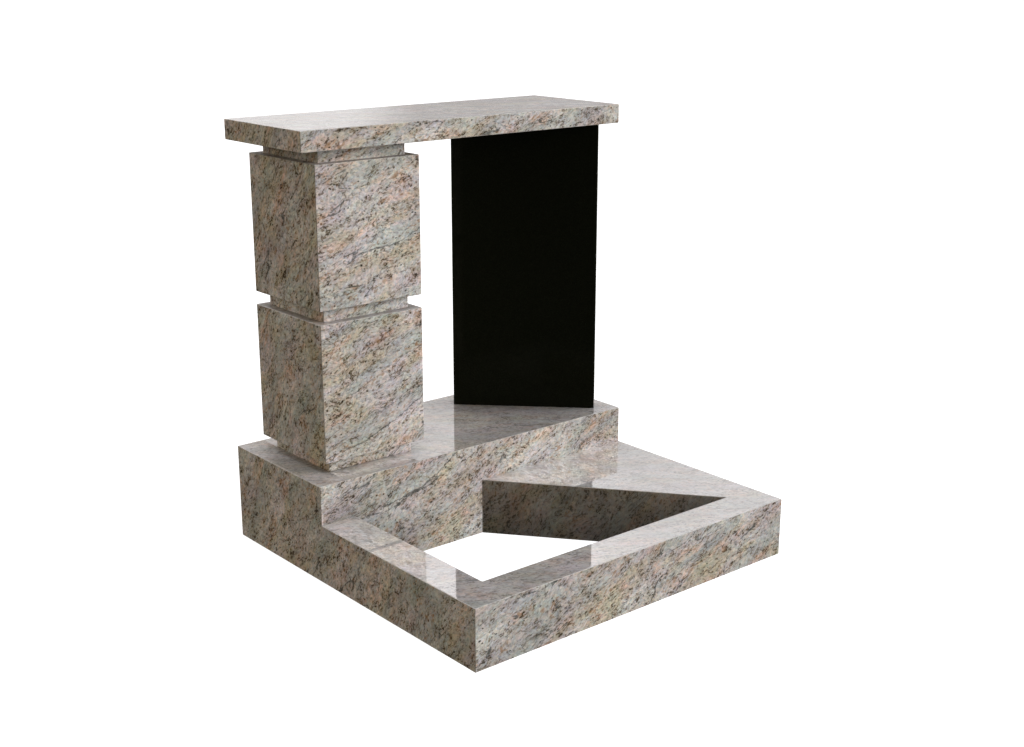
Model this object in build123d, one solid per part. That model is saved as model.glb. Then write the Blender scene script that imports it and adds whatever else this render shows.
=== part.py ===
from build123d import *
import math
import os

# Cremation memorial for a one metre square plot, in polished granite.
# Frame: origin at the centre of the square footprint, on the ground.
# X runs to the right along the front kerb, Y runs to the back, Z is up.
# All dimensions are in millimetres.

# ---- driving dimensions -------------------------------------------------
BASE_W = 1000.0          # footprint, left to right
BASE_D = 1000.0          # footprint, front to back
KERB_W = 100.0           # width of the low kerbs
KERB_H = 150.0           # height of the low kerbs and of the corner block
PLINTH_D = 400.0         # depth of the raised rear plinth
PLINTH_H = 250.0         # height of the raised rear plinth
BED_BACK_W = 400.0       # width of the planting bed along the plinth

BLOCK_W = 300.0          # square pillar block, plan side
BLOCK_H = 350.0          # height of one pillar block
SPACER_W = 250.0         # square recessed spacer, plan side
PILLAR_IN = 50.0         # pillar block set in from the plinth's left and back
STACK_H = 800.0          # height from plinth to lintel
SPACER_H = (STACK_H - 2 * BLOCK_H) / 3

LINTEL_D = 350.0         # front to back
LINTEL_T = 50.0          # thickness
LINTEL_IN = 25.0         # set in from the plinth's back

TABLET_W = 400.0         # width of the black tablet
TABLET_T = 50.0          # thickness of the black tablet
TABLET_TURN = -45.0      # plan angle of the tablet's width
TABLET_X = 815.0         # plan centre, from the footprint's left edge
TABLET_Y = 800.0         # plan centre, from the footprint's front edge

ARRIS = 2.0              # eased edge on every exposed corner
ARRIS_SMALL = 1.5        # eased edge on the spacers

# ---- derived levels and lines ------------------------------------------
X0, X1 = -BASE_W / 2, BASE_W / 2
Y0, Y1 = -BASE_D / 2, BASE_D / 2
YP = Y1 - PLINTH_D                    # front face of the plinth
YK = Y0 + KERB_W                      # back face of the front kerb
XL = X0 + KERB_W                      # inner face of the left kerb
XR = X1 - KERB_W                      # inner face of the right kerb
XD = XL + BED_BACK_W                  # where the diagonal meets the plinth
Z_LINTEL = PLINTH_H + STACK_H

E = 0.01                              # tolerance for picking edges


def block(x0, x1, y0, y1, z0, z1):
    """Rectangular block between two corners."""
    b = Box(x1 - x0, y1 - y0, z1 - z0)
    return Pos((x0 + x1) / 2, (y0 + y1) / 2, (z0 + z1) / 2) * b


def pick(part, test):
    """Edges whose two ends and middle all satisfy the test."""
    found = []
    for e in part.edges():
        pts = [e @ 0.0, e @ 0.5, e @ 1.0]
        if all(test(p.X, p.Y, p.Z) for p in pts):
            found.append(e)
    return found


def near(a, b):
    return abs(a - b) < E


def ease_inner_edge(part, x0, x1, y, z, r):
    """Rounds part of a top edge that runs along X and faces the back."""
    corner = block(x0, x1, y - r, y + 1.0, z - r, z + 1.0)
    rod = Pos((x0 + x1) / 2, y - r, z - r) * (Rot(0, 90, 0) * Cylinder(r, x1 - x0))
    return part - (corner - rod)


# ---- rear plinth --------------------------------------------------------
# One thick block across the back. Its front corners are eased only above
# the kerbs, which butt against it flush below.
low = block(X0, X1, YP, Y1, 0, KERB_H)
low = fillet(pick(low, lambda x, y, z: near(y, Y1) and (near(x, X0) or near(x, X1))), ARRIS)
up = block(X0, X1, YP, Y1, KERB_H, PLINTH_H)
up = fillet(
    pick(
        up,
        lambda x, y, z: near(z, PLINTH_H)
        or ((near(x, X0) or near(x, X1)) and (near(y, YP) or near(y, Y1))),
    ),
    ARRIS,
)
rear_plinth = low + up

# ---- low kerbs ----------------------------------------------------------
left_kerb = block(X0, XL, YK, YP, 0, KERB_H)
left_kerb = fillet(
    pick(left_kerb, lambda x, y, z: near(z, KERB_H) and (near(x, X0) or near(x, XL))), ARRIS
)

right_kerb = block(XR, X1, YK, YP, 0, KERB_H)
right_kerb = fillet(pick(right_kerb, lambda x, y, z: near(z, KERB_H) and near(x, X1)), ARRIS)

front_kerb = block(X0, X1, Y0, YK, 0, KERB_H)
front_kerb = fillet(
    pick(
        front_kerb,
        lambda x, y, z: (near(z, KERB_H) and (near(y, Y0) or near(x, X0) or near(x, X1)))
        or (near(y, Y0) and (near(x, X0) or near(x, X1))),
    ),
    ARRIS,
)
front_kerb = ease_inner_edge(front_kerb, XL, XR, YK, KERB_H, ARRIS)

# ---- corner block: fills the back right of the bed, cut on a diagonal ---
tri = Polyline((XD, YP), (XR, YP), (XR, YK), close=True)
corner_block = extrude(make_face(tri), KERB_H)
dx, dy = XR - XD, YK - YP
dl = math.hypot(dx, dy)


def on_diagonal(x, y):
    return abs((x - XD) * dy - (y - YP) * dx) / dl < E


corner_block = fillet(
    pick(corner_block, lambda x, y, z: near(z, KERB_H) and on_diagonal(x, y)), ARRIS
)

# ---- pillar: two cubes-like blocks on recessed spacers -------------------
px0 = X0 + PILLAR_IN
py1 = Y1 - PILLAR_IN
pcx, pcy = px0 + BLOCK_W / 2, py1 - BLOCK_W / 2


def pillar_block(z0):
    b = block(pcx - BLOCK_W / 2, pcx + BLOCK_W / 2, pcy - BLOCK_W / 2, pcy + BLOCK_W / 2, z0, z0 + BLOCK_H)
    return fillet(b.edges(), ARRIS)


def pillar_spacer(z0):
    s = SPACER_W / 2
    b = block(pcx - s, pcx + s, pcy - s, pcy + s, z0, z0 + SPACER_H)
    return fillet(b.edges().filter_by(Axis.Z), ARRIS_SMALL)


z = PLINTH_H
pillar_base_spacer = pillar_spacer(z)
z += SPACER_H
pillar_lower_block = pillar_block(z)
z += BLOCK_H
pillar_middle_spacer = pillar_spacer(z)
z += SPACER_H
pillar_upper_block = pillar_block(z)
z += BLOCK_H
pillar_top_spacer = pillar_spacer(z)

# ---- black tablet: stands on the plinth and carries the lintel's end ----
tablet = Box(TABLET_W, TABLET_T, STACK_H)
tablet = fillet(tablet.edges().filter_by(Axis.Z), ARRIS)
black_tablet = Pos(X0 + TABLET_X, Y0 + TABLET_Y, PLINTH_H + STACK_H / 2) * (Rot(0, 0, TABLET_TURN) * tablet)

# ---- lintel slab --------------------------------------------------------
lintel_slab = block(X0, X1, Y1 - LINTEL_IN - LINTEL_D, Y1 - LINTEL_IN, Z_LINTEL, Z_LINTEL + LINTEL_T)
lintel_slab = fillet(lintel_slab.edges(), ARRIS)

# ---- one file for each piece --------------------------------------------
pieces = {
    "rear_plinth": rear_plinth,
    "left_kerb": left_kerb,
    "right_kerb": right_kerb,
    "front_kerb": front_kerb,
    "corner_block": corner_block,
    "pillar_base_spacer": pillar_base_spacer,
    "pillar_lower_block": pillar_lower_block,
    "pillar_middle_spacer": pillar_middle_spacer,
    "pillar_upper_block": pillar_upper_block,
    "pillar_top_spacer": pillar_top_spacer,
    "black_tablet": black_tablet,
    "lintel_slab": lintel_slab,
}

os.makedirs("parts", exist_ok=True)
for name, shape in pieces.items():
    solids = shape.solids()
    export_step(solids[0] if len(solids) == 1 else shape, f"parts/{name}.step")
    bb = shape.bounding_box()
    print(f"{name:22s} solids {len(solids)} volume {shape.volume / 1e6:9.3f} l  "
          f"x {bb.min.X:8.2f} {bb.max.X:8.2f}  y {bb.min.Y:8.2f} {bb.max.Y:8.2f}  z {bb.min.Z:8.2f} {bb.max.Z:8.2f}")
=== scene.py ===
import math

import bpy
from mathutils import Matrix, Vector

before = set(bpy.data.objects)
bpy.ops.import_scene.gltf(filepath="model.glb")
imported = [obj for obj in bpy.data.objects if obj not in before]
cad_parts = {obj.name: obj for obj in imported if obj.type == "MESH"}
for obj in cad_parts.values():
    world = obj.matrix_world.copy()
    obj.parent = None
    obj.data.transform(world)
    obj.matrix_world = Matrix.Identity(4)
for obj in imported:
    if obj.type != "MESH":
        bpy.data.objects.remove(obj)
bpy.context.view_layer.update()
scene = bpy.context.scene


# ------------------------------------------------------------------ helpers
class Nodes:
    """Short hand for building a node tree."""

    def __init__(self, tree):
        self.t = tree

    def put(self, sock, value):
        if value is None:
            return
        if isinstance(value, bpy.types.NodeSocket):
            self.t.links.new(value, sock)
        elif sock.type == "RGBA" and len(value) == 3:
            sock.default_value = (*value, 1.0)
        else:
            sock.default_value = value

    def node(self, kind, **attrs):
        n = self.t.nodes.new(kind)
        for k, v in attrs.items():
            setattr(n, k, v)
        return n

    def math(self, op, a, b=None, c=None, clamp=False):
        n = self.node("ShaderNodeMath", operation=op, use_clamp=clamp)
        for i, v in enumerate((a, b, c)):
            self.put(n.inputs[i], v)
        return n.outputs[0]

    def vec(self, op, a, b=None, scale=None):
        n = self.node("ShaderNodeVectorMath", operation=op)
        self.put(n.inputs[0], a)
        self.put(n.inputs[1], b)
        if scale is not None:
            self.put(n.inputs["Scale"], scale)
        return n.outputs["Value"] if op in ("DOT_PRODUCT", "LENGTH") else n.outputs[0]

    def xyz(self, x, y, z):
        n = self.node("ShaderNodeCombineXYZ")
        for i, v in enumerate((x, y, z)):
            self.put(n.inputs[i], v)
        return n.outputs[0]

    def split(self, v):
        n = self.node("ShaderNodeSeparateXYZ")
        self.put(n.inputs[0], v)
        return n.outputs

    def pick(self, fac, a, b):
        """a where fac is 0, b where it is 1; plain numbers."""
        n = self.node("ShaderNodeMix", data_type="FLOAT")
        self.put(n.inputs[0], fac)
        self.put(n.inputs[2], a)
        self.put(n.inputs[3], b)
        return n.outputs[0]

    def mix(self, fac, a, b, blend="MIX"):
        n = self.node("ShaderNodeMix", data_type="RGBA", blend_type=blend)
        self.put(n.inputs[0], fac)
        self.put(n.inputs[6], a)
        self.put(n.inputs[7], b)
        return n.outputs[2]

    def step(self, v, lo, hi, smooth=True):
        """0 at lo and below, 1 at hi and above."""
        n = self.node("ShaderNodeMapRange", interpolation_type="SMOOTHSTEP" if smooth else "LINEAR", clamp=True)
        self.put(n.inputs[0], v)
        self.put(n.inputs[1], lo)
        self.put(n.inputs[2], hi)
        return n.outputs[0]

    def ramp(self, v, stops):
        """A float curve through (position, value) stops."""
        n = self.node("ShaderNodeValToRGB")
        els = n.color_ramp.elements
        while len(els) < len(stops):
            els.new(0.5)
        top = max(y for _, y in stops)
        for e, (x, y) in zip(els, stops):
            e.position = x
            e.color = (y / top, y / top, y / top, 1.0)
        self.put(n.inputs[0], v)
        return self.math("MULTIPLY", n.outputs[0], top)

    def noise(self, v, scale=1.0, detail=2.0, rough=0.5, dims="2D"):
        n = self.node("ShaderNodeTexNoise", noise_dimensions=dims)
        self.put(n.inputs["Vector"], v)
        n.inputs["Scale"].default_value = scale
        n.inputs["Detail"].default_value = detail
        n.inputs["Roughness"].default_value = rough
        return n.outputs[0]

    def voronoi(self, v, scale=1.0, dims="2D"):
        n = self.node("ShaderNodeTexVoronoi", voronoi_dimensions=dims, feature="F1")
        self.put(n.inputs["Vector"], v)
        n.inputs["Scale"].default_value = scale
        return n


def new_material(name):
    m = bpy.data.materials.new(name)
    m.use_nodes = True
    m.node_tree.nodes.clear()
    return m, Nodes(m.node_tree)


# ------------------------------------------------------------------ granite
# Cream to grey gneissic granite: pale lenses with thin dark veins along their
# rims, tan and salmon fields, and dark mica that gathers in wisps. The
# foliation runs at its own angle on fronts, sides and tops.
FRONT_DEG, SIDE_DEG, TOP_DEG = 21.0, 54.0, -37.0
SLANT = (-0.780869, -0.624695)  # outward normal of the bed's slanted face


def granite(name):
    m, n = new_material(name)
    coord = n.node("ShaderNodeTexCoord")
    geo = n.node("ShaderNodeNewGeometry")
    block = n.node("ShaderNodeObjectInfo").outputs["Object Index"]
    px, py, pz = n.split(coord.outputs["Object"])
    nx, ny, nz = n.split(geo.outputs["Normal"])
    ax, ay, az = (n.math("ABSOLUTE", i) for i in (nx, ny, nz))

    top = n.math("GREATER_THAN", az, 0.7)
    side = n.math("GREATER_THAN", ax, ay)
    slant = n.math("GREATER_THAN", n.vec("DOT_PRODUCT", geo.outputs["Normal"], (*SLANT, 0.0)), 0.985)
    sgx, sgy, sgz = (n.math("SIGN", i) for i in (nx, ny, nz))
    # to the right and up, as seen by someone who looks straight at the face
    h = n.pick(side, n.math("MULTIPLY", px, n.math("MULTIPLY", sgy, -1.0)), n.math("MULTIPLY", py, sgx))
    h = n.pick(slant, h, n.vec("DOT_PRODUCT", coord.outputs["Object"], (-SLANT[1], SLANT[0], 0.0)))
    h = n.pick(top, h, px)
    k = n.pick(top, pz, py)
    face = n.pick(side, sgy, n.math("ADD", sgx, 4.0))
    face = n.pick(slant, face, 7.0)
    face = n.pick(top, face, n.math("ADD", sgz, 10.0))

    def by_face(front, sides, tops):
        return n.pick(top, n.pick(side, front, sides), tops)

    c = by_face(*(math.cos(math.radians(d)) for d in (FRONT_DEG, SIDE_DEG, TOP_DEG)))
    s = by_face(*(math.sin(math.radians(d)) for d in (FRONT_DEG, SIDE_DEG, TOP_DEG)))
    u = n.math("ADD", n.math("MULTIPLY", h, c), n.math("MULTIPLY", k, s))
    v = n.math("SUBTRACT", n.math("MULTIPLY", k, c), n.math("MULTIPLY", h, s))
    along = n.math("MULTIPLY_ADD", block, 1.93, n.math("MULTIPLY_ADD", face, 3.17, u))
    across = n.math("MULTIPLY_ADD", block, 2.39, n.math("MULTIPLY_ADD", face, 5.71, v))
    flat = n.xyz(along, across, 0.0)

    def scaled(at, su, sv, off):
        return n.vec("ADD", n.vec("MULTIPLY", at, (su, sv, 0.0)), (off, off * 0.37, 0.0))

    def field(at, su, sv, off, detail=2.0, rough=0.55):
        return n.noise(scaled(at, su, sv, off), 1.0, detail, rough)

    def shaken(at, scale, amount, off):
        w = n.xyz(field(at, scale, scale, off, 1.0), field(at, scale, scale, off + 7.9, 1.0), 0.5)
        w = n.vec("SUBTRACT", w, (0.5, 0.5, 0.5))
        return n.vec("ADD", at, n.vec("SCALE", w, scale=amount))

    # the foliation bends and swells
    soft = shaken(flat, 4.5, 0.045, 1.7)
    bent = shaken(soft, 30.0, 0.008, 5.3)

    lens = field(soft, 2.8, 17.0, 3.1, 1.0)
    # a few long eye-shaped lenses lie across the fronts
    bend_u, bend_v, _ = n.split(n.vec("SUBTRACT", shaken(bent, 62.0, 0.0075, 11.9), flat))
    eye_u, eye_v = n.math("ADD", u, bend_u), n.math("ADD", v, bend_v)
    cf, sf = math.cos(math.radians(FRONT_DEG)), math.sin(math.radians(FRONT_DEG))
    facing = n.math("LESS_THAN", ny, -0.7)
    eyes, lower = None, None
    for x, z, half_length, half_width in ((-0.28, 0.362, 0.20, 0.026), (-0.215, 0.832, 0.14, 0.024), (-0.21, 0.203, 0.13, 0.024)):
        du = n.math("DIVIDE", n.math("SUBTRACT", eye_u, x * cf + z * sf), half_length)
        dv = n.math("DIVIDE", n.math("SUBTRACT", eye_v, z * cf - x * sf), half_width)
        e = n.math("MULTIPLY_ADD", n.math("MULTIPLY_ADD", du, du, n.math("ABSOLUTE", dv)), -0.30, 0.845)
        e = n.math("MULTIPLY", n.math("MINIMUM", e, 0.70), facing)
        under = n.math("MULTIPLY", n.math("GREATER_THAN", e, 0.45), n.math("LESS_THAN", dv, 0.0))
        eyes = e if eyes is None else n.math("MAXIMUM", eyes, e)
        lower = under if lower is None else n.math("MAXIMUM", lower, under)
    lens = n.math("MAXIMUM", lens, eyes)
    cloud = field(soft, 4.0, 8.0, 29.3, 1.0)
    tan = field(bent, 4.6, 14.0, 17.7)
    pale = field(bent, 6.0, 17.0, 41.3)
    hue = field(bent, 7.5, 14.0, 93.1, 4.0, 0.70)
    salmon = field(bent, 12.0, 23.0, 57.9, 3.0, 0.62)
    wisp = field(bent, 14.5, 32.0, 71.9, 4.0, 0.80)
    grain_a = n.voronoi(scaled(bent, 128.0, 205.0, 5.0))
    grain_b = n.voronoi(scaled(bent, 255.0, 410.0, 9.0))
    ra, ga, ba = n.split(grain_a.outputs["Color"])
    rb, gb, bb = n.split(grain_b.outputs["Color"])

    in_lens = n.step(lens, 0.53, 0.62)
    in_tan = n.step(tan, 0.42, 0.62)
    in_pale = n.step(pale, 0.50, 0.66)
    in_salmon = n.step(salmon, 0.50, 0.68)

    # mauve grey and olive tan, with pink, lilac white and greenish grey over them
    col = n.mix(in_tan, (0.545, 0.488, 0.456), (0.505, 0.436, 0.346))
    col = n.mix(n.math("MULTIPLY", in_salmon, 0.80), col, (0.615, 0.463, 0.383))
    col = n.mix(n.math("MULTIPLY", in_pale, 0.75), col, (0.615, 0.562, 0.548))
    col = n.mix(n.math("MULTIPLY", in_lens, 0.70), col, (0.510, 0.499, 0.472))

    # crystals, from white feldspar to black mica
    sort = n.math("MULTIPLY", n.math("SUBTRACT", ra, 0.5), 0.40)
    sort = n.math("MULTIPLY_ADD", n.math("SUBTRACT", rb, 0.5), 0.38, sort)
    sort = n.math("MULTIPLY_ADD", n.math("SUBTRACT", wisp, 0.5), 1.15, sort)
    calm = n.math("MAXIMUM", n.math("MULTIPLY", in_lens, 0.22), n.math("MULTIPLY", in_pale, 0.16))
    sort = n.math("MULTIPLY", sort, n.math("SUBTRACT", 1.0, calm))
    sort = n.math("ADD", sort, 0.5)
    bright = n.ramp(sort, ((0.05, 1.54), (0.25, 1.32), (0.40, 1.14), (0.50, 1.01), (0.60, 0.85), (0.69, 0.61), (0.78, 0.32), (0.90, 0.12)))
    bright = n.math("MULTIPLY", bright, n.math("MULTIPLY_ADD", cloud, 0.52, 0.74))
    dark = n.step(sort, 0.60, 0.78)
    # each crystal leans a little to orange or blue, and to pink or green
    lean = n.math("MULTIPLY_ADD", dark, 0.16, n.math("MULTIPLY", n.math("SUBTRACT", ga, 0.5), 0.13))
    green = n.math("MULTIPLY", n.math("SUBTRACT", hue, 0.5), 0.31)
    green = n.math("MULTIPLY_ADD", n.math("SUBTRACT", gb, 0.5), 0.07, green)
    col = n.mix(1.0, col, n.xyz(
        n.math("MULTIPLY", bright, n.math("ADD", lean, 1.0)),
        n.math("MULTIPLY", bright, n.math("ADD", green, 1.0)),
        n.math("MULTIPLY", bright, n.math("SUBTRACT", 1.0, lean)),
    ), "MULTIPLY")

    # rust stains
    rust = n.math("MULTIPLY", n.step(salmon, 0.52, 0.66), n.math("GREATER_THAN", ba, 0.83))
    col = n.mix(n.math("MULTIPLY", rust, 0.60), col, (0.42, 0.24, 0.13))

    # a few black specks
    speck = n.math("MULTIPLY", n.math("GREATER_THAN", ba, 0.988), n.step(grain_a.outputs["Distance"], 0.42, 0.26))
    col = n.mix(n.math("MULTIPLY", speck, 0.92), col, (0.030, 0.026, 0.022))

    # thin dark veins along the rims of the lenses, and fainter ones nested inside them
    edge = n.math("MULTIPLY_ADD", n.math("SUBTRACT", rb, 0.5), 0.006, lens)
    nest = n.math("PINGPONG", n.math("SUBTRACT", edge, 0.545), 0.024)
    inside = n.math("MULTIPLY", n.step(edge, 0.560, 0.566), n.step(pale, 0.52, 0.42))
    vein = n.math("MULTIPLY", n.step(nest, 0.012, 0.003), inside)
    rim = n.math("ABSOLUTE", n.math("SUBTRACT", edge, 0.545))
    vein = n.math("MAXIMUM", n.math("MULTIPLY", vein, 0.50), n.math("MULTIPLY", n.step(rim, 0.0115, 0.003), n.step(tan, 0.62, 0.48)))
    mica = n.math("MULTIPLY_ADD", ra, 0.14, wisp)
    vein = n.math("MULTIPLY", vein, n.step(mica, 0.45, 0.62))
    # the eyes have a dark lower lid and a faint upper one
    lid = n.math("MULTIPLY_ADD", n.math("SUBTRACT", rb, 0.5), 0.030, eyes)
    lid = n.step(n.math("ABSOLUTE", n.math("SUBTRACT", lid, 0.552)), 0.036, 0.006)
    lid = n.math("MULTIPLY", lid, n.pick(lower, n.math("MULTIPLY", n.step(mica, 0.46, 0.64), 0.7), n.step(mica, 0.32, 0.54)))
    vein = n.math("MAXIMUM", vein, lid)
    col = n.mix(n.math("MULTIPLY", vein, 0.80), col, (0.088, 0.090, 0.088))

    # arrises are honed by hand and a little duller than the polished faces. They are also painted paler: partly the
    # honed stone's own colour, partly a painted highlight line along the edges
    arris_wear_and_highlight = n.step(n.math("MAXIMUM", n.math("MAXIMUM", ax, ay), az), 0.992, 0.94)
    arris_wear_and_highlight = n.math("MULTIPLY", arris_wear_and_highlight, n.math("SUBTRACT", 1.0, slant))
    col = n.mix(n.math("MULTIPLY", arris_wear_and_highlight, 0.22), col, (0.66, 0.62, 0.57))
    # painted sheen: the level tops are painted paler toward a lilac white, a little on the tops below 1 m and
    # strongly on the top above it, standing in for the pale sheen the light gives them
    level = n.math("GREATER_THAN", nz, 0.7)
    painted_top_sheen = n.math("MULTIPLY", level, n.pick(n.math("LESS_THAN", pz, 1.0), 0.05, 0.42))
    col = n.mix(painted_top_sheen, col, (0.560, 0.532, 0.540))
    # painted shade: the AO node marks where the stone is hemmed in, in the recesses, at the pillar's foot and inside
    # the bed; this mask darkens the colour there and dulls the polish
    ao = n.node("ShaderNodeAmbientOcclusion", samples=3)
    ao.inputs["Distance"].default_value = 0.14
    inner = n.math("LESS_THAN", n.math("MAXIMUM", n.math("ABSOLUTE", px), n.math("ABSOLUTE", py)), 0.495)
    recess_shade = n.math("MULTIPLY", n.step(ao.outputs["AO"], 0.86, 0.38), n.math("MAXIMUM", inner, n.step(pz, 0.03, 0.13)))
    # painted shade: the bed's slanted face is painted 44% of the way toward a dark brown
    col = n.mix(n.math("MULTIPLY", slant, 0.44), col, (0.092, 0.090, 0.080))
    ledge = n.math("MULTIPLY", top, n.math("GREATER_THAN", block, 11.5))
    outer = n.math("LESS_THAN", px, -0.424)
    # how strongly the painted shade darkens the upright faces inside the bed: 0.62, 0.20 on the slanted face, and up
    # to 0.90 on the front-facing faces toward the left
    bed_shade = n.pick(facing, n.math("MULTIPLY_ADD", slant, -0.42, 0.62), n.math("MULTIPLY", n.step(px, -0.14, -0.26), 0.90))
    bed_shade = n.math("MULTIPLY", inner, bed_shade)
    # painted shade: the colour is darkened toward a dark brown by the AO mask, on the tops round the pillar and
    # ledges and on the low faces inside the bed
    col = n.mix(n.math("MULTIPLY", recess_shade, n.pick(top, n.pick(n.math("LESS_THAN", pz, 0.252), 0.0, bed_shade),n.pick(ledge, n.math("MULTIPLY_ADD", outer, -0.26, 0.26), n.math("MULTIPLY_ADD", outer, 0.04, 0.42)))), col, (0.095, 0.088, 0.080))

    # painted reflection: in glossy rays the upright faces' colour is raised 2.2 to 3.2 times, most in the shaded
    # recesses, so they show brighter in the polish of the tops than their lighting makes them
    seen_in_reflection = n.math("MULTIPLY", n.node("ShaderNodeLightPath").outputs["Is Glossy Ray"], n.math("SUBTRACT", 1.0, level))
    reflection_lift = n.math("MULTIPLY_ADD", recess_shade, n.pick(n.math("LESS_THAN", pz, 0.252), 1.0, 0.9), 1.2)
    col = n.vec("SCALE", col, scale=n.math("MULTIPLY_ADD", seen_in_reflection, reflection_lift, 1.0))

    bsdf = n.node("ShaderNodeBsdfPrincipled")
    n.put(bsdf.inputs["Base Color"], col)
    n.put(bsdf.inputs["Roughness"], n.math("MULTIPLY_ADD", dark, 0.10, 0.58))
    bsdf.inputs["IOR"].default_value = 1.5
    bsdf.inputs["Specular IOR Level"].default_value = 0.0
    # the polish: a sharp mirror over the hazy grain, strongest on the level tops,
    # worn at the arrises, and weaker where the painted recess shade falls and on the narrow strip left of the pillar
    dull = n.math("MULTIPLY", recess_shade, n.pick(ledge, 0.45, 0.92))
    narrow = n.math("MULTIPLY", outer, n.math("COMPARE", pz, 0.25, 0.01))
    dull = n.math("MAXIMUM", dull, n.math("MULTIPLY", narrow, n.step(ao.outputs["AO"], 0.97, 0.70)))
    polish = n.math("SUBTRACT", n.math("MULTIPLY_ADD", arris_wear_and_highlight, -0.45, 1.0), dull, clamp=True)
    n.put(bsdf.inputs["Coat Weight"], n.math("MULTIPLY", polish, n.pick(level, 0.25, 1.0)))
    bsdf.inputs["Coat Roughness"].default_value = 0.03
    bsdf.inputs["Coat IOR"].default_value = 2.5
    # the polish leaves the faintest orange peel
    bump = n.node("ShaderNodeBump")
    bump.inputs["Strength"].default_value = 0.2
    bump.inputs["Distance"].default_value = 0.00005
    n.put(bump.inputs["Height"], n.noise(coord.outputs["Object"], 190.0, 1.0, 0.5, "3D"))
    n.put(bsdf.inputs["Normal"], bump.outputs[0])
    n.put(bsdf.inputs["Coat Normal"], bump.outputs[0])
    out = n.node("ShaderNodeOutputMaterial")
    n.put(out.inputs["Surface"], bsdf.outputs[0])
    return m


def black_granite(name):
    m, n = new_material(name)
    p = n.node("ShaderNodeTexCoord").outputs["Object"]
    cloud = n.noise(p, 380.0, 3.0, 0.6, "3D")
    grain = n.voronoi(p, 560.0, "3D")
    r, g, b = n.split(grain.outputs["Color"])
    col = n.mix(n.step(cloud, 0.35, 0.75), (0.0062, 0.0073, 0.0044), (0.0138, 0.0157, 0.0100))
    glint = n.math("MULTIPLY", n.math("LESS_THAN", r, 0.035), n.step(grain.outputs["Distance"], 0.5, 0.2))
    col = n.mix(glint, col, (0.022, 0.023, 0.020))
    bsdf = n.node("ShaderNodeBsdfPrincipled")
    n.put(bsdf.inputs["Base Color"], col)
    n.put(bsdf.inputs["Roughness"], n.math("MULTIPLY_ADD", cloud, 0.03, 0.02))
    bsdf.inputs["IOR"].default_value = 1.5
    bsdf.inputs["Specular IOR Level"].default_value = 0.012
    out = n.node("ShaderNodeOutputMaterial")
    n.put(out.inputs["Surface"], bsdf.outputs[0])
    return m


stone = granite("granite_polished")
black = black_granite("granite_black")
for name, obj in sorted(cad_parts.items()):
    mat = black if name == "black_tablet" else stone
    # pieces that meet are cut from the same place, so the figure runs on over the joints
    obj.pass_index = 12 if name.startswith("pillar") else 10 if name.startswith("lintel") else 8
    if not obj.data.materials:
        obj.data.materials.append(mat)
    for s in obj.material_slots:
        s.material = mat

# -------------------------------------------------------------------- stage
mesh = bpy.data.meshes.new("floor")
R, N = 60.0, 96
mesh.from_pydata([(R * math.cos(2 * math.pi * i / N), R * math.sin(2 * math.pi * i / N), -0.0006) for i in range(N)], [], [list(range(N))])
floor = bpy.data.objects.new("floor", mesh)
scene.collection.objects.link(floor)
fm, fn = new_material("floor_pale")
lp = fn.node("ShaderNodeLightPath")
seen = fn.node("ShaderNodeAddShader")
d1 = fn.node("ShaderNodeBsdfDiffuse")
d1.inputs["Color"].default_value = (0.50, 0.50, 0.50, 1)
e1 = fn.node("ShaderNodeEmission")
e1.inputs["Strength"].default_value = 0.93
fn.put(seen.inputs[0], d1.outputs[0])
fn.put(seen.inputs[1], e1.outputs[0])
d2 = fn.node("ShaderNodeBsdfDiffuse")
d2.inputs["Color"].default_value = (0.07, 0.07, 0.06, 1)
mx = fn.node("ShaderNodeMixShader")
fn.put(mx.inputs[0], lp.outputs["Is Camera Ray"])
fn.put(mx.inputs[1], d2.outputs[0])
fn.put(mx.inputs[2], seen.outputs[0])
fo = fn.node("ShaderNodeOutputMaterial")
fn.put(fo.inputs["Surface"], mx.outputs[0])
mesh.materials.append(fm)

# ------------------------------------------------------------------- lights
# White cyclorama; a soft dome that brightens upwards, which the level polished
# tops mirror; and a dimmer, warmer fill for the faces turned from the key.
world = bpy.data.worlds.new("studio")
scene.world = world
world.use_nodes = True
world.node_tree.nodes.clear()
wn = Nodes(world.node_tree)
wl = wn.node("ShaderNodeLightPath")
wd = wn.node("ShaderNodeTexCoord").outputs["Generated"]
wx, wy, wz = wn.split(wd)
dome = wn.ramp(wz, ((0.0, 0.10), (0.06, 0.45), (0.09, 1.58), (0.15, 1.58), (0.19, 1.08), (0.28, 1.18), (0.34, 2.10), (0.40, 2.60), (0.47, 3.10), (0.60, 2.4), (1.0, 1.2)))
# one side of the studio is dimmer, most of all low over the horizon
turn = wn.vec("DOT_PRODUCT", wd, (0.813, -0.582, 0.0))
low = wn.math("MULTIPLY", wn.step(turn, -0.045, 0.015), wn.step(wz, 0.24, 0.16))
high = wn.math("MULTIPLY", wn.step(turn, 0.10, 0.20), wn.step(wz, 0.16, 0.30))
dome = wn.math("MULTIPLY", dome, wn.math("SUBTRACT", wn.math("MULTIPLY_ADD", low, -0.48, 1.05), wn.math("MULTIPLY", high, 0.12)))
band = wn.step(wz, 0.72, 0.25)
warm = wn.mix(wn.step(wy, -0.6, 0.8), (0.490, 0.434, 0.318), (1.30, 1.18, 0.98))
fill = wn.mix(band, (0.06, 0.062, 0.066), warm)
mirrored = wn.math("MULTIPLY", wl.outputs["Is Glossy Ray"], wn.math("LESS_THAN", wl.outputs["Diffuse Depth"], 0.5))
sky = wn.mix(mirrored, fill, wn.vec("SCALE", (0.606, 0.594, 0.600), scale=dome))
wmix = wn.mix(wl.outputs["Is Camera Ray"], sky, (1.0, 1.0, 1.0))
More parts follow.
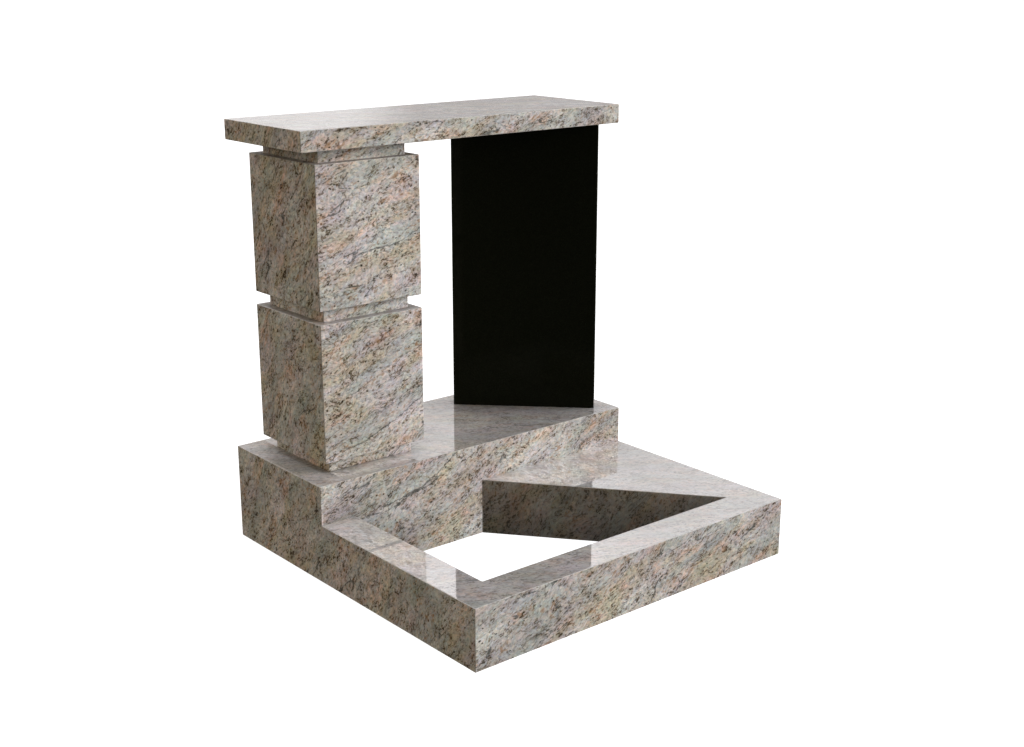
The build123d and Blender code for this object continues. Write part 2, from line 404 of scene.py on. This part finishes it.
bg = wn.node("ShaderNodeBackground")
wn.put(bg.inputs["Color"], wmix)
wo = wn.node("ShaderNodeOutputWorld")
wn.put(wo.inputs["Surface"], bg.outputs[0])


def sun(name, toward, angle, strength, color=(1, 1, 1)):
    d = bpy.data.lights.new(name, "SUN")
    d.angle = math.radians(angle)
    d.energy = strength
    d.color = color
    o = bpy.data.objects.new(name, d)
    scene.collection.objects.link(o)
    o.rotation_mode = "QUATERNION"
    o.rotation_quaternion = Vector(toward).to_track_quat("Z", "Y")
    o.visible_camera = False
    o.visible_glossy = False
    return o


key = sun("key", (0.79, -0.595, 0.15), 40.0, 3.90, (0.955, 1.0, 1.055))
# the low stones round the bed cast no key shadow into it
clear = bpy.data.collections.new("no_key_shadow")
for name in ("corner_block", "front_kerb", "right_kerb"):
    clear.objects.link(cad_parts[name])
for item in clear.collection_objects:
    item.light_linking.link_state = "EXCLUDE"
key.light_linking.blocker_collection = clear
sun("overhead", (0.0, -0.05, 1.0), 50.0, 0.76, (0.92, 1.0, 1.08))
sun("back", (0.19, 0.95, 0.24), 40.0, 1.3, (1.0, 0.99, 0.98))

# ------------------------------------------------------------------- camera
cam_data = bpy.data.cameras.new("camera")
cam = bpy.data.objects.new("camera", cam_data)
scene.collection.objects.link(cam)
az, el = math.radians(39.85), math.radians(16.187)
fw = Vector((math.sin(az) * math.cos(el), math.cos(az) * math.cos(el), -math.sin(el)))
right = Vector((math.cos(az), -math.sin(az), 0.0))
up = right.cross(fw)
cam.matrix_world = Matrix((
    (right.x, up.x, -fw.x, -2.1968),
    (right.y, up.y, -fw.y, -2.6555),
    (right.z, up.z, -fw.z, 1.4658),
    (0, 0, 0, 1),
))
cam_data.sensor_fit = "HORIZONTAL"
cam_data.sensor_width = 36.0
cam_data.lens = 1415.82 / 1024 * 36.0
cam_data.clip_start, cam_data.clip_end = 0.05, 200.0
scene.camera = cam

scene.cycles.diffuse_bounces = 1
scene.view_settings.view_transform = "Standard"
scene.view_settings.look = "None"
